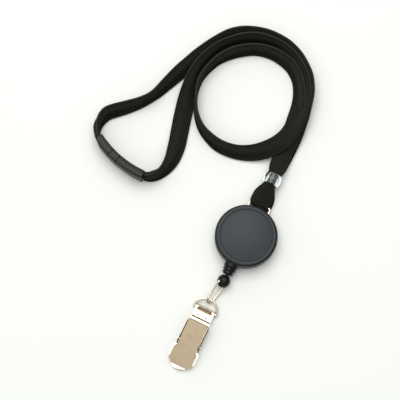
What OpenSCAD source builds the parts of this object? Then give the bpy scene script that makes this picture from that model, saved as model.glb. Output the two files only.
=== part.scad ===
// Neck lanyard with a retractable badge reel and a spring clip.
// Frame: the reel's flat back rests on z = 0 with its centre at the origin, +Z points out of
// the reel's face, +Y runs from the reel to the lanyard's bead, and the clip lies towards -Y.

/* [Reel case] */
// Outer diameter of the case
reel_d = 32; // [30:1:36]
// Height of the closed case
reel_h = 9.5; // [9:0.5:11]
// Wall of the case
case_wall = 1.4; // [1:0.1:1.6]
// Diameter of the round insert in the face
insert_d = 26.6; // [22:0.2:26.8]

/* [Cord and ball] */
// Diameter of the retractor cord
cord_d = 0.9; // [0.6:0.1:1]
// Diameter of the ball on the cord's end
ball_d = 6.8; // [6.6:0.1:7.2]
// Diameter of the wire of the link and of the rings
wire_d = 1.2; // [1:0.1:1.2]

/* [Spring clip] */
// Width of the clip across its side walls
clip_w = 11.7; // [11.5:0.1:12]
// Thickness of the clip's sheet metal
sheet_t = 0.8; // [0.6:0.1:0.8]

/* [Strap] */
// Width of the flat woven strap
strap_w = 9.5; // [8:0.5:10]
// Thickness of the flat woven strap
strap_t = 1.4; // [1.2:0.1:1.6]

/* [Clasp] */
// Height of the clasp, which lies on its edge
clasp_h = 11; // [10.5:0.5:12]
// Thickness of the clasp
clasp_t = 4.8; // [4.4:0.1:5]

/* [Hidden] */

fit = 0.05;                       // running clearance of a shaft in its hole
eps = 0.01;
wire_r = wire_d / 2;
reel_r = reel_d / 2;

// Reel case
split_z = 4.6;                    // where the two covers meet
floor_t = 1;
face_t = 1.2;
edge_r = 1.5;                     // rounding of the case's edges
groove = 0.15;                    // gap round the face insert
insert_t = 0.55;
post_r = 2;                       // post that the spool turns on
post_top = 7.4;
screw_seat = 8.4;                 // underside of the screw's head

// Strap ring, which turns in a lug of the rear cover
ring_x = -0.5;
ring_z = 2.4;
ring_in_y = 13.4;                 // bar in the rear cover's lug
ring_out_y = 18.6;                // bar in the strap's fold
ring_half = 5.6;                  // from the middle to a leg's centre
ring_corner = 1.2;
lug_half = 4.5;

// Cord, ball and link
cord_x = -0.4;
cord_z = 4.6;
outlet_r = 3.6;
ball_y = -25.4;
ball_r = ball_d / 2;
tongue_half = 1.6;                // half the ball's width between the link's legs
link_off = 0.8;                   // link's bar, from the ball's centre
link_len = 12.45;                 // between the centres of the link's two ends
link_half = 2.55;                 // from the middle to a leg's centre at the ball
link_end = 1.95;                  // the same at the ring
link_corner = 0.8;
link_pitch = 9.5;
link_yaw = -10.6;
link_roll = 45;

// Clip
clip_x = -2.5;
d_ring_y = -42.5;
d_ring_z = 1.6;
d_ring_rad = 6.1;
d_ring_tilt = 10.6;
fold_half = 5.1;                  // half the width of the plate's folded end
fold_end = -47.2;
pivot_y = -60.8;
pivot_z = 3;
pin_r = 0.8;
cheek_r = 2.1;
lever_half = clip_w / 2 - 0.7;
jaw_half = clip_w / 2 + 0.45;
wall_in = clip_w / 2 - 0.3;       // side walls of the plate
wall_out = clip_w / 2 + 0.05;
bar_half = clip_w / 2 - 0.2;        // half the lever's turned rear edge
lever_tip = 12.6;                 // from the pin to the lever's straight tip

// Clasp: an arc lying on its edge
clasp_c = [-62, 60];
clasp_rad = 55;
clasp_from = 239;
clasp_gap_1 = 250;
clasp_gap_2 = 255.3;
clasp_to = 271;
prong_len = 4.2;

// Bead
bead_at = [-0.7, 32.6, 4.8];
bead_r = 4.75;
bead_hole = 3.2;
bead_len = 5.8;

// Strap routes: x, y, roll, lift, width. Roll is how far the left-hand edge is turned up,
// seen along the route, and lift is the gap left under the lowest edge.
left_route = [
    [-90.6, 13.1, 88, 0, 9.5], [-92.4, 15.4, 86, 0, 9.5], [-93.7, 18.5, 80, 0, 9.5],
    [-94, 22.5, 70, 0, 9.5], [-93, 26.5, 60, 0, 9.5], [-89.5, 30.5, 57, 0, 9.5],
    [-84.5, 35, 60, 0, 9.5], [-80, 39.5, 68, 0, 9.5], [-76, 45, 75, 0, 9.5],
    [-73, 52, 65, 0, 9.5], [-69.5, 62, 50, 0, 9.5], [-65.5, 72, 52, 0, 9.5],
    [-61.5, 81.5, 60, 0, 9.5], [-56.5, 90, 66, 0, 9.5], [-51, 96, 70, 0, 9.5],
    [-44, 99.8, 70, 0, 9.5], [-36, 101.8, 70, 0, 9.5], [-28, 101.8, 70, 0, 9.5],
    [-20, 99.8, 68, 0, 9.5], [-12.5, 95.5, 66, 0, 9.5], [-7, 90, 65, 0, 9.5],
    [-3.2, 83, 62, 0, 9.5], [-1.4, 75, 52, 0, 9.5], [-0.6, 65, 34, 0, 9.5],
    [-0.5, 56, 12, 0, 9.5], [-0.7, 46, 2, 0.4, 9.5], [-0.8, 40, 0, 1.8, 9.1],
    [-0.7, 36.2, 0, 3, 7.2], [-0.7, 32.6, 0, 3.2, 5.6]];
outer_route = [
    [-60.6, 5, 85, 0, 9.5], [-57.6, 6, 80, 0, 9.5], [-54.8, 8.8, 72, 0, 9.5],
    [-52.8, 13, 62, 0, 9.5], [-52, 19.5, 44, 0, 9.5], [-53, 27.5, 22, 0, 9.5],
    [-55, 35, 10, 0, 9.5], [-57.2, 43, 6, 0, 9.5], [-60, 55.5, 22, 0, 9.5],
    [-61.3, 66, 45, 0, 9.5], [-60.4, 74.5, 60, 0, 9.5], [-56.8, 83.5, 66, 0, 9.5],
    [-51, 91, 70, 0, 9.5], [-44, 96.2, 70, 0, 9.5], [-37, 98.8, 70, 0, 9.5],
    [-29.5, 99.5, 70, 0, 9.5], [-21, 97.6, 68, 0, 9.5], [-13.5, 93.3, 64, 0, 9.5],
    [-8.2, 88, 60, 0, 9.5], [-5, 82, 54, 0.4, 9.5], [-3.6, 75, 44, 1.6, 9.5],
    [-2.8, 65, 25, 3.6, 9.5], [-3.6, 56.5, 5, 4.2, 9.5]];
inner_route = [
    [-3.6, 56.5, 5, 4.2, 9.5], [-7, 49.4, -12, 3.6, 9.5], [-13, 43.2, -30, 1.6, 9.5],
    [-19.8, 39.2, -45, 0.2, 9.5], [-28, 37, -57, 0, 9.5], [-37, 37.6, -64, 0, 9.5],
    [-45.5, 41.3, -74, 0, 9.5], [-51.5, 47.6, -84, 0, 9.5], [-55.2, 55, -90, 0.4, 9.5],
    [-57.2, 64.5, -96, 0.2, 9.5], [-54.8, 75.5, -104, 0, 9.5], [-48.8, 84.5, -111, 0, 9.5],
    [-40.2, 91, -113, 0, 9.5], [-30.5, 93.8, -115, 0, 9.5], [-20.8, 92.8, -117, 0, 9.5],
    [-13, 88.3, -120, 0, 9.5], [-8.4, 82, -124, 0, 9.5], [-5.6, 75, -132, 0, 9.5],
    [-3.6, 65, -147, 0, 9.5], [-2.2, 56, -166, 1.2, 9.5], [-1.2, 46, -178, 2.1, 9.5],
    [-0.9, 40, -180, 3.6, 9.1], [-0.7, 36.2, -180, 4.8, 7.2], [-0.7, 32.6, -180, 5, 5.6]];

function unit(v) = v / norm(v);
function half_rise(p) = abs(sin(p[2])) * p[4] / 2 + abs(cos(p[2])) * strap_t / 2;
function centre(p) = [p[0], p[1], p[3] + half_rise(p)];
function heading(r, i) = unit(centre(r[min(i + 1, len(r) - 1)]) - centre(r[max(i - 1, 0)]));
function strap_section(w) = let (a = w / 2, b = strap_t / 2, c = 0.5, d = 0.2)
    [[a, d], [a - c, b], [c - a, b], [-a, d], [-a, -d], [c - a, -b], [a - c, -b], [a, -d]];
function strap_ring_points(r, i) =
    let (p = r[i], t = heading(r, i), left = unit([-t[1], t[0], 0]), over = cross(t, left),
         across = left * cos(p[2]) + over * sin(p[2]), face = cross(t, across))
    [for (q = strap_section(p[4])) centre(p) + across * q[0] + face * q[1]];

module strap(route) {
    sides = 8;
    rings = len(route);
    points = [for (i = [0 : rings - 1]) each strap_ring_points(route, i)];
    walls = [for (i = [0 : rings - 2], j = [0 : sides - 1])
        let (a = i * sides + j, b = i * sides + (j + 1) % sides) each
        [[a, b, b + sides], [a, b + sides, a + sides]]];
    start = [[for (j = [sides - 1 : -1 : 0]) j]];
    end = [[for (j = [0 : sides - 1]) (rings - 1) * sides + j]];
    polyhedron(points = points, faces = concat(walls, start, end), convexity = 10);
}

module rod_x(r, x0, x1, y = 0, z = 0) {
    translate([x0, y, z]) rotate([0, 90, 0]) cylinder(r = r, h = x1 - x0, $fn = 32);
}

module rod_y(r, y0, y1, x = 0, z = 0) {
    translate([x, y1, z]) rotate([90, 0, 0]) cylinder(r = r, h = y1 - y0, $fn = 32);
}

// Wire bent through a quarter or a half turn about Z
module bend(rad, from, angle, r = wire_r) {
    rotate([0, 0, from]) rotate_extrude(angle = angle, $fn = 48)
        translate([rad, 0]) circle(r = r, $fn = 24);
}

module outlet_shape() {
    rod_y(outlet_r, -17.8, -14.4, cord_x, cord_z);
}

module outlet_hole() {
    rod_y(outlet_r + fit, -19, -12, cord_x, cord_z);
}

// Bore of the case screw, whose head sits under the face insert
module screw_hole() {
    translate([0, 0, 1.6]) cylinder(r = 0.9, h = 7, $fn = 24);
    translate([0, 0, screw_seat]) cylinder(r = 1.75, h = 2, $fn = 32);
}

module ring_slots() {
    for (side = [-1, 1]) translate([ring_x + side * ring_half - 0.95, ring_in_y - 1, -1])
        cube([1.9, 6, split_z + 1 - fit]);
}

module front_cover() {
    h = reel_h - split_z;
    color([0.29, 0.30, 0.31]) difference() {
        translate([0, 0, split_z]) rotate_extrude($fn = 96) difference() {
            union() {
                square([reel_r - edge_r, h]);
                square([reel_r, h - edge_r]);
                translate([reel_r - edge_r, h - edge_r]) circle(r = edge_r, $fn = 48);
            }
            translate([-1, -1]) square([reel_r - case_wall + 1, h - face_t + 1]);
            translate([-1, h - insert_t]) square([insert_d / 2 + groove + 1, 1]);
            translate([reel_r - case_wall, -1]) square([1, 1]);
            translate([-20, -20]) square([20, 40]);
        }
        outlet_hole();
        screw_hole();
    }
    color([0.29, 0.30, 0.31]) difference() {
        translate([0, 0, post_top + fit])
            cylinder(r = 2.6, h = reel_h - face_t - post_top - fit + eps, $fn = 32);
        screw_hole();
    }
}

module rear_cover() {
    color([0.41, 0.42, 0.37]) difference() {
        union() {
            rotate_extrude($fn = 96) difference() {
                union() {
                    square([reel_r - edge_r, split_z - fit]);
                    translate([0, edge_r]) square([reel_r, split_z - fit - edge_r]);
                    translate([reel_r - edge_r, edge_r]) circle(r = edge_r, $fn = 48);
                    square([reel_r - case_wall - fit, split_z + 1]);
                }
                translate([post_r, floor_t])
                    square([reel_r - case_wall - 0.6 - post_r, split_z + 2]);
                translate([-1, floor_t]) square([1 + post_r, split_z + 2]);
                translate([-20, -20]) square([20, 40]);
            }
            cylinder(r = post_r, h = post_top, $fn = 48);
            intersection() {
                translate([ring_x - lug_half, 11.9, 0.5])
                    cube([2 * lug_half, 3.2, split_z - 0.6]);
                cylinder(r = reel_r - 0.5, h = split_z, $fn = 96);
            }
        }
        ring_slots();
        rod_x(wire_r + fit, ring_x - lug_half - 1, ring_x + lug_half + 1, ring_in_y, ring_z);
        outlet_hole();
        screw_hole();
        translate([ring_x - lug_half - 2.6, 11.9, split_z - fit])
            cube([2 * lug_half + 5.2, 6, 2]);
    }
}

module face_insert() {
    color([0.30, 0.31, 0.32]) translate([0, 0, reel_h - insert_t]) rotate_extrude($fn = 96)
        polygon([[0, 0], [insert_d / 2, 0], [insert_d / 2, insert_t - 0.2],
                 [insert_d / 2 - 0.25, insert_t - 0.05], [0, insert_t - 0.05]]);
}

module case_screw() {
    color([0.62, 0.62, 0.6]) difference() {
        union() {
            translate([0, 0, screw_seat]) cylinder(r = 1.65, h = 0.5, $fn = 32);
            translate([0, 0, 2]) cylinder(r = 0.85, h = screw_seat - 1.8, $fn = 24);
        }
        for (a = [0, 90]) rotate([0, 0, a]) translate([-1, -0.2, screw_seat + 0.25])
            cube([2, 0.4, 0.5]);
    }
}

module spiral_spring() {
    turns = 5;
    steps = 90;
    r0 = post_r + 0.3;
    r1 = 7.1;
    strip = 0.2;
    function at(i, out) = let (a = 360 * turns * i / steps, r = r0 + (r1 - r0) * i / steps + out)
        [r * cos(a), r * sin(a)];
    color([0.5, 0.5, 0.52]) translate([0, 0, 2.7]) linear_extrude(4)
        polygon(concat([for (i = [0 : steps]) at(i, 0)], [for (i = [steps : -1 : 0]) at(i, strip)]));
}

module cord_outlet() {
    color([0.08, 0.08, 0.08]) difference() {
        union() {
            outlet_shape();
            rod_y(2.3, -21.7, -17, cord_x, cord_z);
            rod_y(2.8, -19, -17, cord_x, cord_z);
            rod_y(3.3, -19.5, -18.3, cord_x, cord_z);
            rod_y(2.5, -20.4, -19, cord_x, cord_z);
            rod_y(2.9, -21.2, -20.1, cord_x, cord_z);
        }
        rod_y(cord_d / 2 + 0.3, -23, -13, cord_x, cord_z);
    }
}

module spool() {
    color([0.85, 0.85, 0.82]) rotate_extrude($fn = 72) union() {
        translate([post_r + fit, 1.4]) square([11.2 - post_r - fit, 0.8]);
        translate([7.6, 1.4]) square([1, 6.2]);
        translate([7.6, 6.8]) square([3.6, 0.8]);
    }
}

module cord_winding() {
    color([0.05, 0.05, 0.05]) rotate_extrude($fn = 72) translate([8.62, 2.25])
        square([1.9, 4.5]);
}

module cord_run() {
    color([0.05, 0.05, 0.05])
        rod_y(cord_d / 2, ball_y + ball_r - 0.6, -13.2, cord_x, cord_z);
}

module at_ball() {
    translate([cord_x, ball_y, cord_z]) rotate([link_pitch, 0, link_yaw])
        rotate([0, link_roll, 0]) children();
}

module ball_end() {
    color([0.05, 0.05, 0.05]) difference() {
        at_ball() difference() {
            sphere(r = ball_r, $fn = 64);
            for (side = [-1, 1]) translate([side > 0 ? tongue_half : -tongue_half - 4, -5, -5])
                cube([4, 5 - link_off + wire_r + 0.35, 10]);
            rod_x(wire_r + fit, -5, 5, -link_off);
        }
        rod_y(cord_d / 2 + fit, ball_y + ball_r - 0.9, ball_y + 5, cord_x, cord_z);
    }
}

module wire_link() {
    corner_x = link_half - link_corner;
    leg_y = link_end - link_len;
    lean = atan((link_half - link_end) / (-link_corner - leg_y));
    leg = (-link_corner - leg_y) / cos(lean);
    color([0.80, 0.74, 0.62]) at_ball() translate([0, -link_off, 0]) {
        rod_x(wire_r, -corner_x, corner_x);
        for (side = [-1, 1]) {
            translate([side * corner_x, -link_corner, 0])
                bend(link_corner, side > 0 ? 0 : 90, 90);
            translate([side * link_half, -link_corner, 0]) sphere(r = wire_r + fit, $fn = 32);
            translate([side * link_half, -link_corner, 0]) rotate([90, 0, -side * lean])
                cylinder(r = wire_r, h = leg, $fn = 32);
            translate([side * link_end, leg_y, 0]) sphere(r = wire_r + fit, $fn = 32);
        }
        translate([0, leg_y, 0]) bend(link_end, 180, 180);
    }
}

module d_ring() {
    color([0.80, 0.74, 0.62]) translate([clip_x, d_ring_y, d_ring_z]) {
        rotate([d_ring_tilt, 0, 0]) bend(d_ring_rad, 0, 180);
        for (side = [-1, 1]) {
            translate([side * d_ring_rad, 0, 0]) sphere(r = wire_r + fit, $fn = 32);
            rod_x(wire_r, side > 0 ? 3.8 : -d_ring_rad, side > 0 ? d_ring_rad : -3.8);
        }
    }
}

// Outline of the plate with its lower jaw, about the clip's middle line
module plate_outline() {
    polygon([[-fold_half, d_ring_y], [fold_half, d_ring_y], [fold_half, -49.6],
             [wall_out, -50.2], [wall_out, -63.4], [7, -64.6], [7, -69.6], [4.3, -73.6],
             [-4.3, -73.6], [-7, -69.6], [-7, -64.6], [-wall_out, -63.4],
             [-wall_out, -50.2], [-fold_half, -49.6]]);
    translate([0, -69.5]) circle(r = 5.6, $fn = 64);
}

// The plate's end folded back over the ring's bar, seen from the side
module fold_side() {
    difference() {
        union() {
            translate([d_ring_y, d_ring_z]) circle(r = d_ring_z, $fn = 48);
            translate([fold_end, 0]) square([d_ring_y - fold_end, 2 * d_ring_z]);
        }
        translate([d_ring_y, d_ring_z]) circle(r = d_ring_z - sheet_t, $fn = 40);
        translate([fold_end - 1, sheet_t])
            square([d_ring_y - fold_end + 1, 2 * (d_ring_z - sheet_t)]);
    }
}

// One upturned side wall, seen from the side: distance along Y, and height
wall_side = [[-50.2, 0], [-50.2, 1.8], [-51, 2.4], [-57, 2.6], [-59.2, 4.2], [-62.4, 4.2],
             [-63.4, 3.2], [-63.4, 0]];

module clip_plate() {
    color([0.80, 0.74, 0.62]) translate([clip_x, 0, 0]) difference() {
        union() {
            linear_extrude(sheet_t) plate_outline();
            rotate([90, 0, 90]) translate([0, 0, -fold_half]) linear_extrude(2 * fold_half)
                fold_side();
            for (side = [-1, 1]) {
                translate([side > 0 ? wall_in : -wall_out, 0, 0]) rotate([90, 0, 90])
                    linear_extrude(wall_out - wall_in) polygon(wall_side);
                translate([side * 2.3, -46.1, 2 * d_ring_z - eps]) rotate([0, 0, 90])
                    cylinder(r = 0.7, h = 0.3, $fn = 3);
            }
            // Lip along the tip of the lower jaw
            linear_extrude(1.7) intersection() {
                translate([0, -69.5]) circle(r = 5.6, $fn = 64);
                translate([-4.2, -76]) square([8.4, 76 + pivot_y - lever_tip - 0.3]);
            }
        }
        translate([0, -43, d_ring_z]) linear_extrude(3) hull() {
            for (side = [-1, 1]) translate([side * 3.2, 0]) circle(r = 0.95, $fn = 24);
        }
        rod_x(pin_r + 0.02, -6, 6, pivot_y, pivot_z);
    }
}

module clip_pin() {
    color([0.7, 0.66, 0.58]) translate([clip_x, 0, 0]) {
        rod_x(pin_r, -wall_out - 0.05, wall_out + 0.05, pivot_y, pivot_z);
        rod_x(1.15, -wall_out - 0.3, -wall_out - 0.05, pivot_y, pivot_z);
        rod_x(1.15, wall_out + 0.05, wall_out + 0.3, pivot_y, pivot_z);
    }
}

module clip_spring() {
    wire = 0.25;
    coil = 1.3;
    turns = 6;
    color([0.55, 0.54, 0.5]) translate([clip_x, pivot_y, pivot_z]) {
        for (i = [0 : turns - 1]) translate([(i - (turns - 1) / 2) * 0.49, 0, 0])
            rotate([0, 90, 0]) bend(coil, 0, 360, wire);
        rod_y(wire, 0, 7, 1.22, -coil);
        rod_y(wire, -7, 0, -1.22, -coil);
    }
}

// The lever's middle line seen from the side: distance from the pin, and height
lever_line = [[12.6, 7.15], [11.4, 7.38], [9, 7.06], [5, 6.5], [1.5, 6], [-2, 5.5], [-5, 4.85],
              [-8, 4], [-10.5, 3.1], [-12.2, 2.4], [-13.5, 2]];

// The lever's shape from above, about the pin
module lever_outline() {
    polygon([[-bar_half, 12.6], [-bar_half, 11.4], [-lever_half, 11.2], [-lever_half, -2.8],
             [-jaw_half, -4.4], [-jaw_half, -10.6],
             [-3.9, -lever_tip], [3.9, -lever_tip], [jaw_half, -10.6], [jaw_half, -4.4],
             [lever_half, -2.8], [lever_half, 11.2], [bar_half, 11.4], [bar_half, 12.6]]);
}

module clip_lever() {
    lever_t = 0.7;
    cheek = 0.6;
    color([0.80, 0.74, 0.62]) translate([clip_x, pivot_y, 0]) difference() {
        union() {
            intersection() {
                rotate([90, 0, 90]) translate([0, 0, -8]) linear_extrude(16)
                    polygon(concat(lever_line,
                        [for (i = [len(lever_line) - 1 : -1 : 0]) lever_line[i] - [0, lever_t]]));
                linear_extrude(10) lever_outline();
            }
            for (side = [-1, 1]) {
                cheek_x = side > 0 ? lever_half - cheek : -lever_half;
                rod_x(cheek_r, cheek_x, cheek_x + cheek, 0, pivot_z);
                translate([cheek_x, -cheek_r, pivot_z]) cube([cheek, 2 * cheek_r, 2.45]);
            }
        }
        rod_x(pin_r + fit, -8, 8, 0, pivot_z);
        // Groove in front of the turned rear edge
        translate([-8, 11, 6.95]) cube([16, 0.4, 1]);
    }
}

module strap_ring() {
    leg_x = ring_half - ring_corner;
    leg_y0 = ring_in_y + ring_corner;
    leg_y1 = ring_out_y - ring_corner;
    color([0.80, 0.74, 0.62]) translate([ring_x, 0, ring_z]) {
        rod_x(wire_r, -leg_x, leg_x, ring_in_y);
        rod_x(wire_r, -leg_x, leg_x, ring_out_y);
        for (side = [-1, 1]) {
            rod_y(wire_r, leg_y0, leg_y1, side * ring_half);
            translate([side * leg_x, leg_y0, 0]) bend(ring_corner, side > 0 ? 270 : 180, 90);
            translate([side * leg_x, leg_y1, 0]) bend(ring_corner, side > 0 ? 0 : 90, 90);
        }
    }
}

module strap_loop() {
    fold_r = wire_r + 0.1 + strap_t;
    near = bead_at[1];
    color([0.06, 0.06, 0.06]) intersection() {
        rotate([90, 0, 90]) translate([0, 0, -10]) linear_extrude(20) difference() {
            hull() {
                translate([ring_out_y, ring_z]) circle(r = fold_r, $fn = 40);
                translate([near - 0.1, bead_at[2] - 1.6]) square([0.1, 3.2]);
            }
            hull() {
                translate([ring_out_y, ring_z]) circle(r = wire_r + 0.3, $fn = 32);
                translate([near - 7, bead_at[2] - 0.6]) circle(r = 0.1, $fn = 16);
            }
        }
        linear_extrude(12) polygon([[-3.3, near], [-3.4, 29.7], [-5, 25], [-5.2, 20.5],
            [-5.2, 16], [4.2, 16], [4.2, 20.5], [4, 25], [1.8, 29.7], [1.9, near]]);
    }
}

module bead() {
    color([0.85, 0.88, 0.9, 0.4]) translate(bead_at) rotate([90, 0, 0])
        rotate_extrude($fn = 64) difference() {
            intersection() {
                translate([0, -bead_len / 2]) square([bead_r, bead_len]);
                translate([bead_r - 6.5, 0]) circle(r = 6.5, $fn = 72);
            }
            translate([-1, -bead_len]) square([bead_hole + 1, 2 * bead_len]);
            translate([-20, -20]) square([20, 40]);
        }
}

module strap_left() {
    color([0.06, 0.06, 0.06]) strap(left_route);
}

module strap_right_outer() {
    color([0.06, 0.06, 0.06]) strap(outer_route);
}

module strap_right_inner() {
    color([0.06, 0.06, 0.06]) strap(inner_route);
}

module clasp_section() {
    difference() {
        translate([clasp_rad, clasp_h / 2]) offset(r = 1.4, $fn = 24)
            square([clasp_t - 2.8, clasp_h - 2.8], center = true);
        // Parting groove along the upper and lower edges
        for (z = [0, clasp_h]) translate([clasp_rad - 0.9, z])
            square([0.35, 0.6], center = true);
    }
}

module clasp_arc(from, to) {
    translate([clasp_c[0], clasp_c[1], 0]) rotate([0, 0, from])
        rotate_extrude(angle = to - from, $fn = 180) clasp_section();
}

module at_gap(angle) {
    translate([clasp_c[0] + clasp_rad * cos(angle), clasp_c[1] + clasp_rad * sin(angle),
               clasp_h / 2]) rotate([0, 0, angle + 90]) children();
}

module prong_space(grow, long) {
    for (side = [-1, 1]) translate([-long, -0.7 - grow, side * 2.6 - 1.1 - grow])
        cube([long + 0.5, 1.4 + 2 * grow, 2.2 + 2 * grow]);
}

module clasp_socket() {
    color([0.27, 0.28, 0.25]) difference() {
        clasp_arc(clasp_from, clasp_gap_1 - 0.3);
        at_gap(clasp_from) cube([3, 1.5, 9.6], center = true);
        // Outer side rounded towards the strap
        at_gap(clasp_from) linear_extrude(clasp_h + 2, center = true) difference() {
            translate([-0.5, -3]) square([5.8, 2.1]);
            translate([5.3, -0.6]) scale([2.9, 1]) circle(r = 1.85, $fn = 64);
        }
    }
}

module clasp_collar() {
    color([0.25, 0.26, 0.24]) difference() {
        clasp_arc(clasp_gap_1, clasp_gap_2 - 0.3);
        at_gap(clasp_gap_2) prong_space(0.2, prong_len + 0.2);
    }
}

module clasp_plug() {
    color([0.27, 0.28, 0.25]) difference() {
        union() {
            clasp_arc(clasp_gap_2, clasp_to);
            at_gap(clasp_gap_2) prong_space(0, prong_len);
        }
        at_gap(clasp_to) cube([3, 1.5, 9.6], center = true);
    }
}

front_cover();
rear_cover();
face_insert();
case_screw();
spiral_spring();
cord_outlet();
spool();
cord_winding();
cord_run();
ball_end();
wire_link();
d_ring();
clip_plate();
clip_pin();
clip_spring();
clip_lever();
strap_ring();
strap_loop();
bead();
strap_left();
strap_right_outer();
strap_right_inner();
clasp_socket();
clasp_collar();
clasp_plug();
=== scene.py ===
"""Looks of the neck lanyard with a badge reel and clip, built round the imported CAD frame."""
import math

import bpy
import numpy as np
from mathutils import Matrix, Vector


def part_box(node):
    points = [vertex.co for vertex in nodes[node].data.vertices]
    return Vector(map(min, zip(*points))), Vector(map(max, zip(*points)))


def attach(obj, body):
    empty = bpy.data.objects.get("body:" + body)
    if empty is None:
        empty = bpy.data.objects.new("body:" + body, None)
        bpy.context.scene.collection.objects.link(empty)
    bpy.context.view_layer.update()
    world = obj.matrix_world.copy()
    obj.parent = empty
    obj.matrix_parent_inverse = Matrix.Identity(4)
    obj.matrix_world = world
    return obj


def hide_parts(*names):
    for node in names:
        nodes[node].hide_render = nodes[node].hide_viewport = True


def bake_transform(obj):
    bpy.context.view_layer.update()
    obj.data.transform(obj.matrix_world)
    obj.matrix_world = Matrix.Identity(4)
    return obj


MM = 0.001

# ---------------------------------------------------------------- frame and its box
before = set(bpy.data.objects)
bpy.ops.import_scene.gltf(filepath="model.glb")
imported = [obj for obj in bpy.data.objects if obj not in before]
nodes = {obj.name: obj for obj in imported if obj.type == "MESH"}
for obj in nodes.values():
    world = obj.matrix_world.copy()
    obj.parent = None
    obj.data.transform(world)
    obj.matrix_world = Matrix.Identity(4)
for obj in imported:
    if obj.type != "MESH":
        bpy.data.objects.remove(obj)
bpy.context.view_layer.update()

# ---------------------------------------------------------------- camera
VIEW_TURN = math.radians(26)      # the reel's axis leans this far in the view
VIEW_RISE = math.radians(80)      # the view is nearly straight down
VIEW_DISTANCE = 0.54
VIEW_TARGET = Vector((-0.0288, 0.0056, 0.0126))
VIEW_LENS = 96.2                  # millimetres
VIEW_SENSOR = 36                  # millimetres


def make_camera():
    """The camera, nearly straight above its target."""
    data = bpy.data.cameras.new("camera")
    data.lens = VIEW_LENS
    data.sensor_width = VIEW_SENSOR
    camera = bpy.data.objects.new("camera", data)
    bpy.context.scene.collection.objects.link(camera)
    back = Vector((math.sin(VIEW_TURN) * math.cos(VIEW_RISE),
                   -math.cos(VIEW_TURN) * math.cos(VIEW_RISE), math.sin(VIEW_RISE)))
    camera.location = VIEW_TARGET + back * VIEW_DISTANCE
    camera.rotation_mode = "QUATERNION"
    camera.rotation_quaternion = (-back).to_track_quat("-Z", "Y")
    bpy.context.scene.camera = camera


make_camera()

# ---------------------------------------------------------------- strap routes
# x, y, roll, lift, width in millimetres and degrees, along the CAD model's straps
STRAP_WIDTH = 9.5
STRAP_THICK = 1.4
TAIL = 9                          # sewn-back length of strap at each half of the clasp
TAIL_THICK = 1.1                  # of the sewn-back layer
TAIL_TAPER = 3.5                  # length over which the sewn-back layer thins out
TAIL_THINNEST = 0.12              # share of that thickness left at the tail's free end
TAIL_SINK = 0.08                  # how far the sewn-back layer is pressed into the strap
LEFT_ROUTE = [
    (-90.6, 13.1, 88, 0, 9.5), (-92.4, 15.4, 86, 0, 9.5), (-93.7, 18.5, 80, 0, 9.5),
    (-94, 22.5, 70, 0, 9.5), (-93, 26.5, 60, 0, 9.5), (-89.5, 30.5, 57, 0, 9.5),
    (-84.5, 35, 60, 0, 9.5), (-80, 39.5, 68, 0, 9.5), (-76, 45, 75, 0, 9.5),
    (-73, 52, 65, 0, 9.5), (-69.5, 62, 50, 0, 9.5), (-65.5, 72, 52, 0, 9.5),
    (-61.5, 81.5, 60, 0, 9.5), (-56.5, 90, 66, 0, 9.5), (-51, 96, 70, 0, 9.5),
    (-44, 99.8, 70, 0, 9.5), (-36, 101.8, 70, 0, 9.5), (-28, 101.8, 70, 0, 9.5),
    (-20, 99.8, 68, 0, 9.5), (-12.5, 95.5, 66, 0, 9.5), (-7, 90, 65, 0, 9.5),
    (-3.2, 83, 62, 0, 9.5), (-1.4, 75, 52, 0, 9.5), (-0.6, 65, 34, 0, 9.5),
    (-0.5, 56, 12, 0, 9.5), (-0.7, 46, 2, 0.4, 9.5), (-0.8, 40, 0, 1.8, 9.1),
    (-0.7, 36.2, 0, 3, 7.2), (-0.7, 32.6, 0, 3.2, 5.6)]
OUTER_ROUTE = [
    (-60.6, 5, 85, 0, 9.5), (-57.6, 6, 80, 0, 9.5), (-54.8, 8.8, 72, 0, 9.5),
    (-52.8, 13, 62, 0, 9.5), (-52, 19.5, 44, 0, 9.5), (-53, 27.5, 22, 0, 9.5),
    (-55, 35, 10, 0, 9.5), (-57.2, 43, 6, 0, 9.5), (-60, 55.5, 22, 0, 9.5),
    (-61.3, 66, 45, 0, 9.5), (-60.4, 74.5, 60, 0, 9.5), (-56.8, 83.5, 66, 0, 9.5),
    (-51, 91, 70, 0, 9.5), (-44, 96.2, 70, 0, 9.5), (-37, 98.8, 70, 0, 9.5),
    (-29.5, 99.5, 70, 0, 9.5), (-21, 97.6, 68, 0, 9.5), (-13.5, 93.3, 64, 0, 9.5),
    (-8.2, 88, 60, 0, 9.5), (-5, 82, 54, 0.4, 9.5), (-3.6, 75, 44, 1.6, 9.5),
    (-2.8, 65, 25, 3.6, 9.5), (-3.6, 56.5, 5, 4.2, 9.5)]
INNER_ROUTE = [
    (-3.6, 56.5, 5, 4.2, 9.5), (-7, 49.4, -12, 3.6, 9.5), (-13, 43.2, -30, 1.6, 9.5),
    (-19.8, 39.2, -45, 0.2, 9.5), (-28, 37, -57, 0, 9.5), (-37, 37.6, -64, 0, 9.5),
    (-45.5, 41.3, -74, 0, 9.5), (-51.5, 47.6, -84, 0, 9.5), (-55.2, 55, -90, 0.4, 9.5),
    (-57.2, 64.5, -96, 0.2, 9.5), (-54.8, 75.5, -104, 0, 9.5), (-48.8, 84.5, -111, 0, 9.5),
    (-40.2, 91, -113, 0, 9.5), (-30.5, 93.8, -115, 0, 9.5), (-20.8, 92.8, -117, 0, 9.5),
    (-13, 88.3, -120, 0, 9.5), (-8.4, 82, -124, 0, 9.5), (-5.6, 75, -132, 0, 9.5),
    (-3.6, 65, -147, 0, 9.5), (-2.2, 56, -166, 1.2, 9.5), (-1.2, 46, -178, 2.1, 9.5),
    (-0.9, 40, -180, 3.6, 9.1), (-0.7, 36.2, -180, 4.8, 7.2), (-0.7, 32.6, -180, 5, 5.6)]

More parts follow.
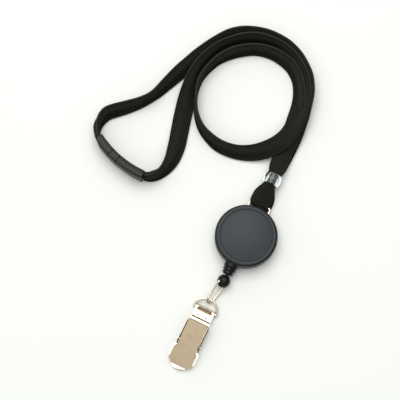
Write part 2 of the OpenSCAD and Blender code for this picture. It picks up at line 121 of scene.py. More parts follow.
ROW_STEP = 0.5                    # millimetres between rows of a strap's mesh
CURVE_STEPS = 24                  # points worked out between two points of a route
WALES = 10                        # knitted ribs across the strap
RIB_HEIGHT = 0.11                 # millimetres, either side of the face
FACE_POINTS = 66                  # points across each face of the strap
EDGE_POINTS = 5                   # points round each edge of the strap
EDGE_REACH = 0.5                  # reach of the rounded edge across the strap
EDGE_SHARE = 0.93                 # thickness at the edges, as a share of the middle's
GATHER_FOLDS = 5                  # half waves of cloth each side of the middle, where gathered
GATHER_DEPTH = 0.55               # depth of those folds where the strap enters the bead


def lifted(point):
    """A route point as (x, y, z, roll, width), with z from its roll, lift and width."""
    x, y, roll, lift, width = point
    angle = math.radians(roll)
    rise = abs(math.sin(angle)) * width / 2 + abs(math.cos(angle)) * STRAP_THICK / 2
    return np.array((x, y, lift + rise, roll, width), float)


def running_length(route):
    """Distance along a route to each of its rows, in millimetres."""
    steps = np.linalg.norm(np.diff(route[:, :3], axis=0), axis=1)
    return np.concatenate(([0], np.cumsum(steps)))


def evenly_spaced(route, run, even):
    """The route's five measures at other distances along it."""
    return np.stack([np.interp(even, run, route[:, k]) for k in range(5)], axis=1)


def smooth_route(points):
    """A Catmull-Rom curve through the points, as evenly spaced rows of (x, y, z, roll, width)."""
    rows = [lifted(p) for p in points]
    rows = [2 * rows[0] - rows[1], *rows, 2 * rows[-1] - rows[-2]]
    dense = []
    for a, b, c, d in zip(rows, rows[1:], rows[2:], rows[3:]):
        gaps = [max(np.linalg.norm(q[:3] - p[:3]), 0.01) ** 0.5 for p, q in
                ((a, b), (b, c), (c, d))]
        t1, t2 = gaps[0], gaps[0] + gaps[1]
        t3 = t2 + gaps[2]
        for t in np.linspace(t1, t2, CURVE_STEPS, endpoint=False):
            p = a * (t1 - t) / t1 + b * t / t1
            q = b * (t2 - t) / (t2 - t1) + c * (t - t1) / (t2 - t1)
            r = c * (t3 - t) / (t3 - t2) + d * (t - t2) / (t3 - t2)
            u = p * (t2 - t) / t2 + q * t / t2
            v = q * (t3 - t) / (t3 - t1) + r * (t - t1) / (t3 - t1)
            dense.append(u * (t2 - t) / (t2 - t1) + v * (t - t1) / (t2 - t1))
    dense = np.array([*dense, rows[-2]])
    run = running_length(dense)
    even = np.linspace(0, run[-1], int(run[-1] / ROW_STEP) + 1)
    return evenly_spaced(dense, run, even), even


def strap_frames(route):
    """Unit vectors along, across and out of the strap's face at each row."""
    ahead = np.gradient(route[:, :3], axis=0)
    ahead /= np.linalg.norm(ahead, axis=1)[:, None]
    left = np.stack([-ahead[:, 1], ahead[:, 0], np.zeros(len(ahead))], axis=1)
    left /= np.linalg.norm(left, axis=1)[:, None]
    over = np.cross(ahead, left)
    roll = np.radians(route[:, 3])[:, None]
    across = left * np.cos(roll) + over * np.sin(roll)
    return ahead, across, np.cross(ahead, across)


def tube_faces(rings, points, turned=False):
    """Quads between rings of points and a cap at each end. Turned faces point the other way."""
    faces = []
    for k in range(rings - 1):
        near, far = k * points, (k + 1) * points
        for i in range(points):
            j = (i + 1) % points
            if turned:
                faces.append((near + i, near + j, far + j, far + i))
            else:
                faces.append((near + i, far + i, far + j, near + j))
    first = tuple(range(points))
    last = tuple((rings - 1) * points + i for i in reversed(range(points)))
    if turned:
        return [*faces, first[::-1], last[::-1]]
    return [*faces, first, last]


def new_mesh(name, verts, faces, smooth=True):
    """A new object of a mesh, in the scene."""
    mesh = bpy.data.meshes.new(name)
    mesh.from_pydata([tuple(v) for v in verts], [], faces)
    mesh.update()
    obj = bpy.data.objects.new(name, mesh)
    bpy.context.scene.collection.objects.link(obj)
    if smooth:
        mesh.polygons.foreach_set("use_smooth", [True] * len(mesh.polygons))
    return obj


def set_attribute(obj, name, values):
    """A number per vertex, for the materials to read."""
    attribute = obj.data.attributes.new(name, "FLOAT", "POINT")
    attribute.data.foreach_set("value", np.asarray(values, np.float32))


def knit_section(width, thick):
    """Outline of the flat knitted strap in each row, with its ribs.

    Width and thick are columns with a row per ring. So are the three results: the place across,
    the height out of the face, and the place across as a share of the half width, which stays
    with the cloth where it is gathered.
    """
    flat = np.linspace(1, -1, FACE_POINTS)
    turn = np.linspace(0, math.pi, EDGE_POINTS + 2)[1:-1]
    inner = width / 2 - EDGE_REACH
    fade = np.clip((1 - np.abs(flat)) * 8, 0, 1)       # no ribs right at the edges
    rib = RIB_HEIGHT * np.cos(math.pi * WALES * flat) * fade
    full = EDGE_SHARE + (1 - EDGE_SHARE) * np.cos(math.pi * flat / 2)
    top_u = inner * flat
    top_v = thick / 2 * full + rib
    left_u = -inner - EDGE_REACH * np.sin(turn)
    left_v = thick / 2 * np.cos(turn) * EDGE_SHARE
    u = np.concatenate([top_u, left_u, -top_u, -left_u], axis=1)
    v = np.concatenate([top_v, left_v, -top_v, -left_v], axis=1)
    return u, v, u / (width / 2)


def thickened(thick, squeeze, growth):
    """Thickness of the cloth where it is squeezed narrower, up to its growth beyond the usual."""
    return thick * np.clip(1 + growth * (squeeze - 1), 1, 1 + growth)


def gathered(depth, squeeze, share):
    """Lengthwise folds of the cloth where it is squeezed narrower."""
    waves = np.cos(GATHER_FOLDS * math.pi * share) * (1 - share ** 4)
    return depth * np.clip(squeeze - 1, 0, 1) * waves


def ribbon(route, run, gather=0.0, seed=0.0, shift=0.0, thick=STRAP_THICK):
    """Vertices, faces and cloth measures of one closed stretch of strap along a route.

    Small waves along the cloth and a slight curl across it, each 0.1 mm or less, look limp.
    """
    _, across, face = strap_frames(route)
    width = route[:, 4:5]
    squeeze = STRAP_WIDTH / width
    u, v, share = knit_section(width, thickened(thick, squeeze, 0.3))
    place = run[:, None]
    wave = 0.05 * np.sin(place / 3.1 + seed) + 0.04 * np.sin(place / 1.7 + 2 * seed)
    curl = 0.10 * np.sin(place / 4.3 + 3 * seed) * share
    rise = v + wave + curl + gathered(gather, squeeze, share) + shift
    return ribbon_mesh(route, run, across, face, u, rise, share)


def ribbon_mesh(route, run, across, face, u, rise, share, turned=False):
    """Vertices in metres, faces, and the cloth's measures at each vertex."""
    verts = (route[:, None, :3] + across[:, None, :] * u[..., None]
             + face[:, None, :] * rise[..., None])
    rings, points = u.shape
    return (verts.reshape(-1, 3) * MM, tube_faces(rings, points, turned),
            np.repeat(run * MM, points), share.reshape(-1))


STITCH_COUNT = 7                  # in one row across the strap
STITCH_PITCH = 1.2
STITCH_HALF = 0.42                # half of a stitch's length across the strap
STITCH_SLANT = 0.25               # half of its length along the strap
STITCH_ROWS = (4.2, 5.6)          # distance of each row back from the tail's free end
THREAD_RADIUS = 0.17
THREAD_TIP = 0.06                 # keeps a stitch's ends from closing to a point
THREAD_LIFT = 0.08                # of the thread's middle along the strap's own normal
THREAD_RINGS, THREAD_POINTS = 7, 8


def stitches(route, run, places, shift):
    """Rows of short thread stitches across the strap, standing a little out of its face."""
    ahead, across, face = strap_frames(route)
    turns = np.linspace(0, 2 * math.pi, THREAD_POINTS, endpoint=False)
    verts, faces = [], []
    for place in places:
        k = int(np.searchsorted(run, place))
        for j in range(STITCH_COUNT):
            u = (j - (STITCH_COUNT - 1) / 2) * STITCH_PITCH
            a = route[k, :3] + across[k] * (u - STITCH_HALF) + ahead[k] * STITCH_SLANT
            b = route[k, :3] + across[k] * (u + STITCH_HALF) - ahead[k] * STITCH_SLANT
            base = len(verts)
            for t in np.linspace(0, 1, THREAD_RINGS):
                swell = THREAD_RADIUS * math.sqrt(max(1 - (2 * t - 1) ** 2, THREAD_TIP))
                for turn in turns:
                    out = shift + THREAD_LIFT + swell * math.sin(turn)
                    verts.append((a + (b - a) * t + ahead[k] * swell * math.cos(turn)
                                  + face[k] * out) * MM)
            faces += [tuple(base + i for i in quad)
                      for quad in tube_faces(THREAD_RINGS, THREAD_POINTS)]
    return np.array(verts), faces


def make_strap(name, route, run, gather=0.0, seed=0.0, tail=0.0, side=1):
    """One stretch of strap, with its end sewn back on itself for the length of the tail.

    The side is 1 or -1, for the face of the strap that the tail lies on.
    """
    parts = [ribbon(route, run, gather, seed)]
    if tail:
        k = int(tail / ROW_STEP)
        thick = TAIL_THICK * np.clip((tail - run[:k, None]) / TAIL_TAPER, TAIL_THINNEST, 1)
        shift = side * (STRAP_THICK / 2 + thick / 2 - TAIL_SINK)
        parts.append(ribbon(route[:k], run[:k], 0, seed, shift, thick))
        sewn, sewn_faces = stitches(route, run, [tail - row for row in STITCH_ROWS],
                                    side * (STRAP_THICK / 2 + TAIL_THICK))
        parts.append((sewn, sewn_faces, np.zeros(len(sewn)), np.zeros(len(sewn))))
    verts, faces, along, share = [], [], [], []
    for part in parts:
        base = sum(len(v) for v in verts)
        verts.append(part[0])
        faces += [tuple(base + i for i in f) for f in part[1]]
        along.append(part[2])
        share.append(part[3])
    obj = new_mesh(name, np.concatenate(verts), faces)
    set_attribute(obj, "along", np.concatenate(along))
    set_attribute(obj, "share", np.concatenate(share))
    path = [tuple(p * MM) for p in route[::4, :3]] + [tuple(route[-1, :3] * MM)]
    return obj, path, run[-1] * MM


# ---------------------------------------------------------------- materials
def socket_set(shader, **values):
    """Constant values on a shader's own sockets, with _ for the spaces in their names."""
    for name, value in values.items():
        shader.inputs[name.replace("_", " ")].default_value = value


def new_material(name):
    """A new material with its node tree and its shader."""
    material = bpy.data.materials.new(name)
    material.use_nodes = True
    tree = material.node_tree
    shader = tree.nodes["Principled BSDF"]
    return material, tree, shader


def node(tree, kind, **inputs):
    """A new node with constant values on some of its inputs."""
    made = tree.nodes.new(kind)
    for name, value in inputs.items():
        made.inputs[name].default_value = value
    return made


def math_node(tree, operation, *values, clamp=False):
    """Output of a maths node. Each value is a number or another node's output."""
    made = tree.nodes.new("ShaderNodeMath")
    made.operation = operation
    made.use_clamp = clamp
    for place, value in enumerate(values):
        if isinstance(value, (int, float)):
            made.inputs[place].default_value = value
        else:
            tree.links.new(value, made.inputs[place])
    return made.outputs[0]


def shade(colour, share):
    """The colour made darker or lighter, and opaque."""
    return (*(min(c * share, 1) for c in colour), 1)


def mix_colours(tree, factor, dark, light):
    """Output of a mix from the dark colour at 0 to the light one at 1."""
    made = tree.nodes.new("ShaderNodeMix")
    made.data_type = "RGBA"
    tree.links.new(factor, made.inputs["Factor"])
    made.inputs["A"].default_value = dark
    made.inputs["B"].default_value = light
    return made.outputs["Result"]


def bumped(tree, shader, height, strength, distance):
    """A bump on the shader from a height, whose distance is in metres."""
    made = node(tree, "ShaderNodeBump", Strength=strength, Distance=distance)
    tree.links.new(height, made.inputs["Height"])
    tree.links.new(made.outputs["Normal"], shader.inputs["Normal"])


def object_noise(tree, scale, detail, squash=None):
    """Noise over the piece's own frame, squashed by so many times along each axis."""
    place = tree.nodes.new("ShaderNodeTexCoord")
    made = node(tree, "ShaderNodeTexNoise", Scale=scale, Detail=detail)
    if squash is None:
        tree.links.new(place.outputs["Object"], made.inputs["Vector"])
    else:
        mapping = tree.nodes.new("ShaderNodeMapping")
        mapping.inputs["Scale"].default_value = squash
        tree.links.new(place.outputs["Object"], mapping.inputs["Vector"])
        tree.links.new(mapping.outputs["Vector"], made.inputs["Vector"])
    return made.outputs["Fac"]


def strap_material():
    """Fine knit: ribs along the strap and courses across it, set by the cloth's own measures."""
    course = 0.62 * MM            # length of one knitted loop along the strap
    material, tree, shader = new_material("strap_knit")
    along = tree.nodes.new("ShaderNodeAttribute")
    along.attribute_name = "along"
    share = tree.nodes.new("ShaderNodeAttribute")
    share.attribute_name = "share"
    across = math_node(tree, "MULTIPLY", share.outputs["Fac"], math.pi * WALES)
    rib = math_node(tree, "COSINE", across)
    vee = math_node(tree, "MULTIPLY", math_node(tree, "ABSOLUTE", rib), 1.6)
    rows = math_node(tree, "ADD", math_node(tree, "MULTIPLY", along.outputs["Fac"],
                                            2 * math.pi / course), vee)
    loop = math_node(tree, "SINE", rows)
    knit = math_node(tree, "ADD", math_node(tree, "MULTIPLY", rib, 0.85),
                     math_node(tree, "MULTIPLY", loop, 0.45))
    fuzz = object_noise(tree, 2500, 4)
    height = math_node(tree, "ADD", knit, math_node(tree, "MULTIPLY", fuzz, 0.8))
    bumped(tree, shader, height, 0.9, 0.16 * MM)
    # Colour follows the knit's height: painted shade between the raised loops and painted light on
    # them, plus random tone from the fuzz.
    tone = math_node(tree, "MULTIPLY_ADD", height, 0.5, 0.08, clamp=True)
    colour = mix_colours(tree, tone, (0.0003, 0.0005, 0.0003, 1), (0.0440, 0.0500, 0.0380, 1))
    tree.links.new(colour, shader.inputs["Base Color"])
    socket_set(shader, Roughness=0.9, Specular_IOR_Level=0.12, Sheen_Weight=0.04,
               Sheen_Roughness=0.5, Sheen_Tint=(0.6, 0.65, 0.6, 1))
    return material


def plastic_material(name, colour, roughness, grain=0.25, specular=0.5):
    """Moulded plastic: fine spark-eroded grain, faint flow marks and handling marks."""
    material, tree, shader = new_material(name)
    fine = object_noise(tree, 5200, 2)
    broad = object_noise(tree, 160, 3)
    mottled = mix_colours(tree, broad, shade(colour, 0.86), shade(colour, 1.14))
    tree.links.new(mottled, shader.inputs["Base Color"])
    rough = math_node(tree, "MULTIPLY_ADD", broad, 0.16, roughness - 0.08)
    tree.links.new(rough, shader.inputs["Roughness"])
    bumped(tree, shader, fine, grain, 0.03 * MM)
    socket_set(shader, Specular_IOR_Level=specular)
    return material


def metal_material(name, colour, roughness, brush=(1, 1, 1), dull=0.92):
    """Plated or plain steel, with faint rolling marks and clouds. Dull is the darkest shade."""
    material, tree, shader = new_material(name)
    marks = object_noise(tree, 900, 4, brush)
    cloud = object_noise(tree, 220, 3)
    clouded = mix_colours(tree, cloud, shade(colour, dull), shade(colour, 1.05))
    tree.links.new(clouded, shader.inputs["Base Color"])
    rough = math_node(tree, "MULTIPLY_ADD", marks, 0.06, roughness - 0.03)
    tree.links.new(rough, shader.inputs["Roughness"])
    bumped(tree, shader, marks, 0.05, 0.02 * MM)
    socket_set(shader, Metallic=1.0)
    return material


def inside(tree, value, low, high):
    """1 between the two values, 0 outside, with a soft edge of a tenth of a millimetre."""
    edge = 0.1 * MM
    steps = []
    for start, end in ((low - edge, low), (high + edge, high)):
        step = tree.nodes.new("ShaderNodeMapRange")
        step.inputs["From Min"].default_value = start
        step.inputs["From Max"].default_value = end
        tree.links.new(value, step.inputs["Value"])
        steps.append(step.outputs["Result"])
    return math_node(tree, "MULTIPLY", *steps)


def paint_shade(material, zones, colour, roughness):
    """Painted shade over a metal material: a dark colour and more roughness in box-shaped zones of
    the part's own frame.

    Each zone is three (low, high) pairs in millimetres, the first of them a distance either
    side of the clip's middle plane.
    """
    tree = material.node_tree
    shader = tree.nodes["Principled BSDF"]
    place = tree.nodes.new("ShaderNodeTexCoord")
    split = tree.nodes.new("ShaderNodeSeparateXYZ")
    tree.links.new(place.outputs["Object"], split.inputs["Vector"])
    off = math_node(tree, "ABSOLUTE", math_node(tree, "SUBTRACT", split.outputs["X"], CLIP_X * MM))
    measures = (off, split.outputs["Y"], split.outputs["Z"])
    total = None
    for zone in zones:
        part = None
        for value, (low, high) in zip(measures, zone):
            span = inside(tree, value, low * MM, high * MM)
            part = span if part is None else math_node(tree, "MULTIPLY", part, span)
        total = part if total is None else math_node(tree, "MAXIMUM", total, part)
    # painted shade: the dark colour and the roughness mixed in over the zones
    for name, shaded in (("Base Color", colour), ("Roughness", (roughness,) * 3)):
        mix = tree.nodes.new("ShaderNodeMix")
        mix.data_type = "RGBA"
        tree.links.new(total, mix.inputs["Factor"])
        tree.links.new(shader.inputs[name].links[0].from_socket, mix.inputs["A"])
        mix.inputs["B"].default_value = (*shaded, 1)
        tree.links.new(mix.outputs["Result"], shader.inputs[name])


def clear_material(name, roughness, tint, clear=1.0):
    """Clear moulded plastic with faint ripples. Clear is the share of light that passes."""
    material, tree, shader = new_material(name)
    cloud = object_noise(tree, 300, 2)
    bumped(tree, shader, cloud, 0.04, 0.1 * MM)
    rough = math_node(tree, "MULTIPLY_ADD", cloud, 0.05, roughness)
    tree.links.new(rough, shader.inputs["Roughness"])
    socket_set(shader, Base_Color=tint, Transmission_Weight=clear, IOR=1.46)
    return material


def braid_material():
    """Black braided cord: fuzzy and matt, with its strands made as geometry."""
    material, tree, shader = new_material("cord_braid")
    fuzz = object_noise(tree, 6000, 3)
    tree.links.new(mix_colours(tree, fuzz, (0.002, 0.002, 0.002, 1), (0.02, 0.02, 0.019, 1)),
                   shader.inputs["Base Color"])
    bumped(tree, shader, fuzz, 0.6, 0.08 * MM)
    socket_set(shader, Roughness=0.8, Sheen_Weight=0.1)
    return material


ROLLED = (1, 12, 1)               # rolling marks as fine lines across the clip
CLIP_X = -2.5                     # the clip's middle plane
# zones of the clip's sheet where shade is painted, in millimetres: off its middle plane, along Y,
# up Z
PLATE_WALLS = ((5.35, 6.2), (-63.6, -50), (0.85, 4.4))
PLATE_BOSSES = ((1.6, 3), (-46.9, -45.3), (3.3, 3.7))
PLATE_GAP = ((0, 6.2), (-49.9, -47), (0.4, 2.42))
FOLD_SLOT = ((0, 4.2), (-45, -41.8), (0.4, 2.42))
LEVER_CHEEKS = ((4.3, 6.2), (-63.4, -49.6), (0, 4.6))
LEVER_GROOVE = ((0, 6.2), (-49.88, -49.32), (6, 7.26))
# painted shade in the clip's gaps, hollows and groove
SHADED_STEEL = (0.09, 0.06, 0.035)
# painted shade on the slot's floor, a lighter brown than the other zones
SLOT_SHADE_STEEL = (0.34, 0.25, 0.145)

CASE = plastic_material("case_satin", (0.0115, 0.0140, 0.0165), 0.36, specular=0.28)
INSERT = plastic_material("insert_satin", (0.040, 0.047, 0.052), 0.48, grain=0.15, specular=0.18)
REAR = plastic_material("rear_satin", (0.06, 0.06, 0.045), 0.45, specular=0.3)
CLASP = plastic_material("clasp_satin", (0.024, 0.027, 0.021), 0.42, grain=0.3, specular=0.18)
BLACK = plastic_material("outlet_black", (0.005, 0.005, 0.005), 0.3, grain=0.2, specular=0.22)
SPOOL = plastic_material("spool_acetal", (0.72, 0.72, 0.68), 0.4)
NICKEL = metal_material("nickel_wire", (0.80, 0.72, 0.60), 0.20)
SHEET = metal_material("nickel_sheet", (0.73, 0.58, 0.405), 0.13, ROLLED, dull=0.82)
PLATE = metal_material("nickel_plate", (0.78, 0.69, 0.56), 0.19, ROLLED)
# painted shade on the clip: dark in the walls' gaps, on the bosses, behind the lever's bar, at the
# lever's cheeks and in its groove, lighter brown on the slot's floor
paint_shade(PLATE, [PLATE_WALLS, PLATE_BOSSES, PLATE_GAP], SHADED_STEEL, roughness=0.6)
paint_shade(PLATE, [FOLD_SLOT], SLOT_SHADE_STEEL, roughness=0.6)
paint_shade(SHEET, [LEVER_CHEEKS, LEVER_GROOVE], SHADED_STEEL, roughness=0.6)
STEEL = metal_material("spring_steel", (0.55, 0.55, 0.54), 0.3)
CLEAR = clear_material("clear_moulding", 0.05, (0.95, 0.97, 0.99, 1))
BORE = clear_material("clear_bore", 0.5, (0.78, 0.82, 0.90, 1), clear=0.95)
KNIT = strap_material()
BRAID = braid_material()

NODE_MATERIALS = {
    "front_cover": CASE, "rear_cover": REAR, "face_insert": INSERT, "case_screw": STEEL,
    "spiral_spring": STEEL, "cord_outlet": BLACK, "spool": SPOOL, "cord_winding": BRAID,
    "cord_run": BRAID, "ball_end": BLACK, "wire_link": NICKEL, "d_ring": NICKEL,
    "clip_plate": PLATE, "clip_pin": NICKEL, "clip_spring": STEEL, "clip_lever": SHEET,
    "strap_ring": NICKEL, "strap_loop": KNIT, "bead": CLEAR, "strap_left": KNIT,
    "strap_right_outer": KNIT, "strap_right_inner": KNIT, "clasp_socket": CLASP,
    "clasp_collar": CLASP, "clasp_plug": CLASP}


def dress(obj, material):
    """The material in place of any that the object has."""
    obj.data.materials.clear()
    obj.data.materials.append(material)


def soften(obj, width, angle=35):
    """Small rounded edges on a CAD node, and smooth shading between them."""
    obj.data.polygons.foreach_set("use_smooth", [True] * len(obj.data.polygons))
    obj.data.set_sharp_from_angle(angle=math.radians(angle))
    weld = obj.modifiers.new("weld", "WELD")
    weld.merge_threshold = 0.002 * MM
    bevel = obj.modifiers.new("bevel", "BEVEL")
    bevel.width = width * MM
    bevel.segments = 3
    bevel.limit_method = "ANGLE"
    bevel.angle_limit = math.radians(angle)
    bevel.harden_normals = True
    bevel.use_clamp_overlap = True


for name, material in NODE_MATERIALS.items():
    dress(nodes[name], material)

FINE_EDGE = 0.03                  # millimetres, on every piece that isn't named below
EDGE_WIDTHS = {"clasp_socket": 0.3, "clasp_collar": 0.3, "clasp_plug": 0.3, "clip_lever": 0.12,
               "clip_plate": 0.12, "cord_outlet": 0.2, "face_insert": 0.05, "front_cover": 0.08,
               "rear_cover": 0.08, "clip_pin": 0.15, "ball_end": 0.2, "bead": 0.25}
for name in NODE_MATERIALS:
    soften(nodes[name], EDGE_WIDTHS.get(name, FINE_EDGE))
for name in ("clip_lever", "clip_plate"):      # pressed sheet: flat faces up to their edges
    flat = nodes[name].modifiers.new("flat", "WEIGHTED_NORMAL")
    flat.mode = "FACE_AREA"
    flat.weight = 90
    flat.keep_sharp = True


# ---------------------------------------------------------------- straps
def row_nearest(route, point):
    """Row of a smooth route nearest one of its points, on the pass at that point's own height."""
    x, y, z = lifted(point)[:3]
    gap = np.linalg.norm(route[:, :2] - np.array((x, y)), axis=1)
    other_pass = np.abs(route[:, 2] - z) > 2
    return int(np.argmin(np.where(other_pass, math.inf, gap)))


# The two right-hand stretches are one strap that crosses over itself: one smooth line, cut in two
right_route, right_run = smooth_route(OUTER_ROUTE + INNER_ROUTE[1:])
cut = row_nearest(right_route, OUTER_ROUTE[-1])
left_route, left_run = smooth_route(LEFT_ROUTE)
strap_a, path_a, length_a = make_strap("strap_first", left_route, left_run,
                                       GATHER_DEPTH, 0.4, TAIL, -1)
strap_b, path_b, length_b = make_strap("strap_second", right_route[:cut + 1], right_run[:cut + 1],
                                       0, 1.9, TAIL, -1)
strap_c, path_c, length_c = make_strap("strap_third", right_route[cut:],
                                       right_run[cut:] - right_run[cut], GATHER_DEPTH, 1.9)
for piece in (strap_a, strap_b, strap_c):
    dress(piece, KNIT)
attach(strap_a, "lanyard")
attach(strap_c, "lanyard")
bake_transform(strap_b)
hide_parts("strap_left")
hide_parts("strap_right_outer")
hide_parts("strap_right_inner")

# The fold that holds the ring
BAR_Y, BAR_Z, WRAP = 18.6, 2.4, 1.42               # the bar, and the cloth's middle round it
FOLD_WIDTH = 10.3                                  # of the strap where it lies flat in the fold
FOLD_STEP = 0.3                                    # millimetres between rows of its mesh
FOLD_PASSES = 6                                    # smoothing passes over its route
FOLD_GATHER = 0.5                                  # depth of its lengthwise folds at the bead
SAG_DEPTH, SAG_Y, SAG_REACH = 0.35, 25, 5          # its edges droop between the bead and the ring
# y, z, middle in x, width: from the bead on the upper side, round the ring's outer bar and back
# underneath
FOLD_ROUTE = ([(32.4, 5.75, -0.7, 5.8), (30.2, 5.8, -0.75, 5.8), (28.4, 5.75, -0.9, 7.2),
               (26.6, 5.55, -1.05, 8.8), (24.6, 5.2, -1.2, 10.2), (22.6, 4.75, -1.35, 10.5),
               (20.6, 4.25, -1.4, 10.5), (19.2, 3.95, -1.35, 10.4)]
              + [(BAR_Y - WRAP * math.sin(a), BAR_Z + WRAP * math.cos(a),
                  -0.5 - 0.75 * math.cos(a), 9.3 + 1.0 * math.cos(a) ** 2)
                 for a in np.linspace(0, math.pi, 9)]
              + [(20.2, 0.9, 0.45, 10.2), (23, 1.35, 0.3, 10), (25.2, 2.15, 0, 9.2),
                 (27.4, 3.1, -0.4, 7.8), (29.4, 3.75, -0.6, 6.0), (32.4, 4.0, -0.7, 5.8)])


def make_fold():
    """The strap's folded end, as one stretch of strap whose width lies along X."""
    points = np.array([(x, y, z, 0, w) for y, z, x, w in FOLD_ROUTE], float)
    run = running_length(points)
    even = np.linspace(0, run[-1], int(run[-1] / FOLD_STEP))
    route = evenly_spaced(points, run, even)
    for _ in range(FOLD_PASSES):
        route[1:-1] = (route[:-2] + 2 * route[1:-1] + route[2:]) / 4
    verts, faces, along, share = ribbon_across_x(route, even)
    obj = new_mesh("strap_fold", verts, faces)
    set_attribute(obj, "along", along)
    set_attribute(obj, "share", share)
    return obj


def ribbon_across_x(route, run):
    """Like ribbon, for a route in an upright plane, where the strap's width lies along X."""
    ahead = np.gradient(route[:, :3], axis=0)
    ahead[:, 0] = 0
    ahead /= np.linalg.norm(ahead, axis=1)[:, None]
    across = np.tile((1.0, 0.0, 0.0), (len(route), 1))
    face = np.stack([np.zeros(len(run)), ahead[:, 2], -ahead[:, 1]], axis=1)
    width = route[:, 4:5]
    squeeze = FOLD_WIDTH / width
    u, v, share = knit_section(width, thickened(STRAP_THICK, squeeze, 0.2))
    droop = np.clip(1 - np.abs(route[:, 1:2] - SAG_Y) / SAG_REACH, 0, 1)
    wave = 0.05 * np.sin(run[:, None] / 1.9)
    rise = v + gathered(FOLD_GATHER, squeeze, share) - SAG_DEPTH * share ** 2 * droop + wave
    return ribbon_mesh(route, run, across, face, u, rise, share, turned=True)


fold = make_fold()
dress(fold, KNIT)
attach(fold, "lanyard")
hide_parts("strap_loop")

# ---------------------------------------------------------------- bead
BEAD_BORE = 3.2                   # radius
BEAD_LIP = 0.45                   # radius of the rounded mouth of the bore
BEAD_BARREL = 6.5                 # radius of the curve of its outside, lengthwise
BEAD_RIM = 0.5                    # length of the rounded outer rim
BEAD_SIDES = 96


def make_bead():
    """Clear barrel bead with a rounded rim at each end and a frosted bore."""
    low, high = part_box("bead")
    middle_x, middle_y, middle_z = [(a + b) / 2 for a, b in zip(low, high)]
    outer = (high[0] - low[0]) / 2 / MM
    half = (high[1] - low[1]) / 2 / MM
    shoulder = half - BEAD_RIM

    def barrel(y):
        return math.sqrt(BEAD_BARREL ** 2 - y ** 2) + outer - BEAD_BARREL

    def mouth(a):
        return (BEAD_BORE + BEAD_LIP * (1 - math.cos(a)), half - BEAD_LIP * (1 - math.sin(a)))

    rim = [*(mouth(a) for a in np.linspace(0, math.pi / 2, 7)),
           (barrel(shoulder) - 0.35, half), (barrel(shoulder) - 0.1, half - 0.15)]
    profile = [*rim, *((barrel(y), y) for y in np.linspace(shoulder, -shoulder, 25)),
               *((r, -y) for r, y in reversed(rim))]
    wall = len(profile)
    profile += [(BEAD_BORE, y) for y in np.linspace(BEAD_LIP - half, half - BEAD_LIP, 12)[1:-1]]
    count = len(profile)
    verts = [(r * math.cos(t) * MM + middle_x, y * MM + middle_y, r * math.sin(t) * MM + middle_z)
             for t in np.linspace(0, 2 * math.pi, BEAD_SIDES, endpoint=False) for r, y in profile]
    faces, slots = [], []
    for i in range(BEAD_SIDES):
        near, far = i * count, (i + 1) % BEAD_SIDES * count
        for j in range(count):
            k = (j + 1) % count
            faces.append((near + j, near + k, far + k, far + j))
            slots.append(1 if j >= wall - 1 else 0)
    obj = new_mesh("clear_bead", verts, faces)
    obj.data.materials.append(CLEAR)
    obj.data.materials.append(BORE)
    obj.data.polygons.foreach_set("material_index", slots)
    return obj


bead = make_bead()
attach(bead, "lanyard")
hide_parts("bead")

# ---------------------------------------------------------------- retractor cord
CORD_X, CORD_Z, CORD_R = -0.4, 4.6, 0.45
CORD_RINGS, CORD_POINTS = 120, 24
CORD_STRANDS = 4                  # running each way round the cord
CORD_LAY = 2.4                    # radians of the braid's pattern in a millimetre of cord
CORD_CORE, CORD_RELIEF = 0.86, 0.16                # shares of its radius


def make_cord():
    """Braided cord as four pairs of crossing strands over a core, from the spool to the ball."""
    low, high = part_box("cord_run")
    verts = []
    for y in np.linspace(high[1], low[1], CORD_RINGS):
        lay = y / MM * CORD_LAY
        for i in range(CORD_POINTS):
            turn = 2 * math.pi * i / CORD_POINTS
            strand = CORD_STRANDS * turn / 2
            braid = abs(math.sin(strand + lay)) * abs(math.sin(strand - lay))
            r = CORD_R * (CORD_CORE + CORD_RELIEF * braid)
            verts.append(((CORD_X + r * math.cos(turn)) * MM, y,
                          (CORD_Z + r * math.sin(turn)) * MM))
    return new_mesh("retractor_cord", verts, tube_faces(CORD_RINGS, CORD_POINTS, turned=True))


pull_cord = make_cord()
dress(pull_cord, BRAID)
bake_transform(pull_cord)
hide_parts("cord_run")

# ---------------------------------------------------------------- floor and light
FLOOR_HALF = 6.0                  # metres
FLOOR_DROP = 0.02 * MM            # just under the object's lowest face


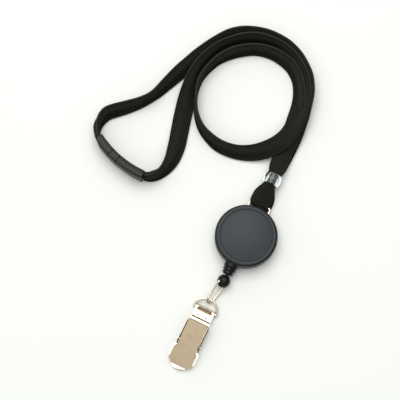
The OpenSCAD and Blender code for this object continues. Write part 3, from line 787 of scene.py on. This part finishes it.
def make_floor():
    """A plain white table top."""
    corners = [(x * FLOOR_HALF, y * FLOOR_HALF, -FLOOR_DROP)
               for x, y in ((-1, -1), (1, -1), (1, 1), (-1, 1))]
    floor = new_mesh("floor", corners, [(0, 1, 2, 3)], smooth=False)
    material, _, shader = new_material("floor_white")
    socket_set(shader, Base_Color=(0.825, 0.84, 0.82, 1), Roughness=0.9, Specular_IOR_Level=0.1)
    dress(floor, material)


def raised(turn, rise):
    """Unit vector turned from the view's upward direction on the table, and raised above it."""
    a, e = VIEW_TURN + math.radians(turn), math.radians(rise)
    return Vector((-math.sin(a) * math.cos(e), math.cos(a) * math.cos(e), math.sin(e)))


def area_light(name, turn, rise, distance, size, power, colour):
    """A soft square light in that direction from the view's target."""
    data = bpy.data.lights.new(name, "AREA")
    data.size = size
    data.energy = power
    data.color = colour
    light = bpy.data.objects.new(name, data)
    bpy.context.scene.collection.objects.link(light)
    away = raised(turn, rise)
    light.location = VIEW_TARGET + away * distance
    light.rotation_mode = "QUATERNION"
    light.rotation_quaternion = (-away).to_track_quat("-Z", "Y")


TENT_TURN, TENT_RISE = 40, 72     # the tent's brightest direction, to the view's upper left
TENT_FULL = 0.7                   # how far along that direction it reaches its full strength
TENT_DIM, TENT_BRIGHT = 0.08, 0.78


def make_world():
    """A light tent: brightest in one raised direction and dimmer away from it."""
    world = bpy.data.worlds.new("world")
    world.use_nodes = True
    tree = world.node_tree
    background = tree.nodes["Background"]
    background.inputs["Color"].default_value = (0.98, 1.0, 0.97, 1)
    place = tree.nodes.new("ShaderNodeTexCoord")
    reach = tree.nodes.new("ShaderNodeVectorMath")
    reach.operation = "DOT_PRODUCT"
    tree.links.new(place.outputs["Generated"], reach.inputs[0])
    reach.inputs[1].default_value = raised(TENT_TURN, TENT_RISE)
    level = tree.nodes.new("ShaderNodeMapRange")
    level.interpolation_type = "SMOOTHSTEP"
    for name, value in (("From Min", 0.0), ("From Max", TENT_FULL),
                        ("To Min", TENT_DIM), ("To Max", TENT_BRIGHT)):
        level.inputs[name].default_value = value
    tree.links.new(reach.outputs["Value"], level.inputs["Value"])
    tree.links.new(level.outputs["Result"], background.inputs["Strength"])
    bpy.context.scene.world = world


make_floor()
make_world()
area_light("key", turn=12, rise=71, distance=1.1, size=0.95, power=9.0, colour=(1.0, 0.99, 0.98))
bpy.context.scene.view_settings.view_transform = "Standard"
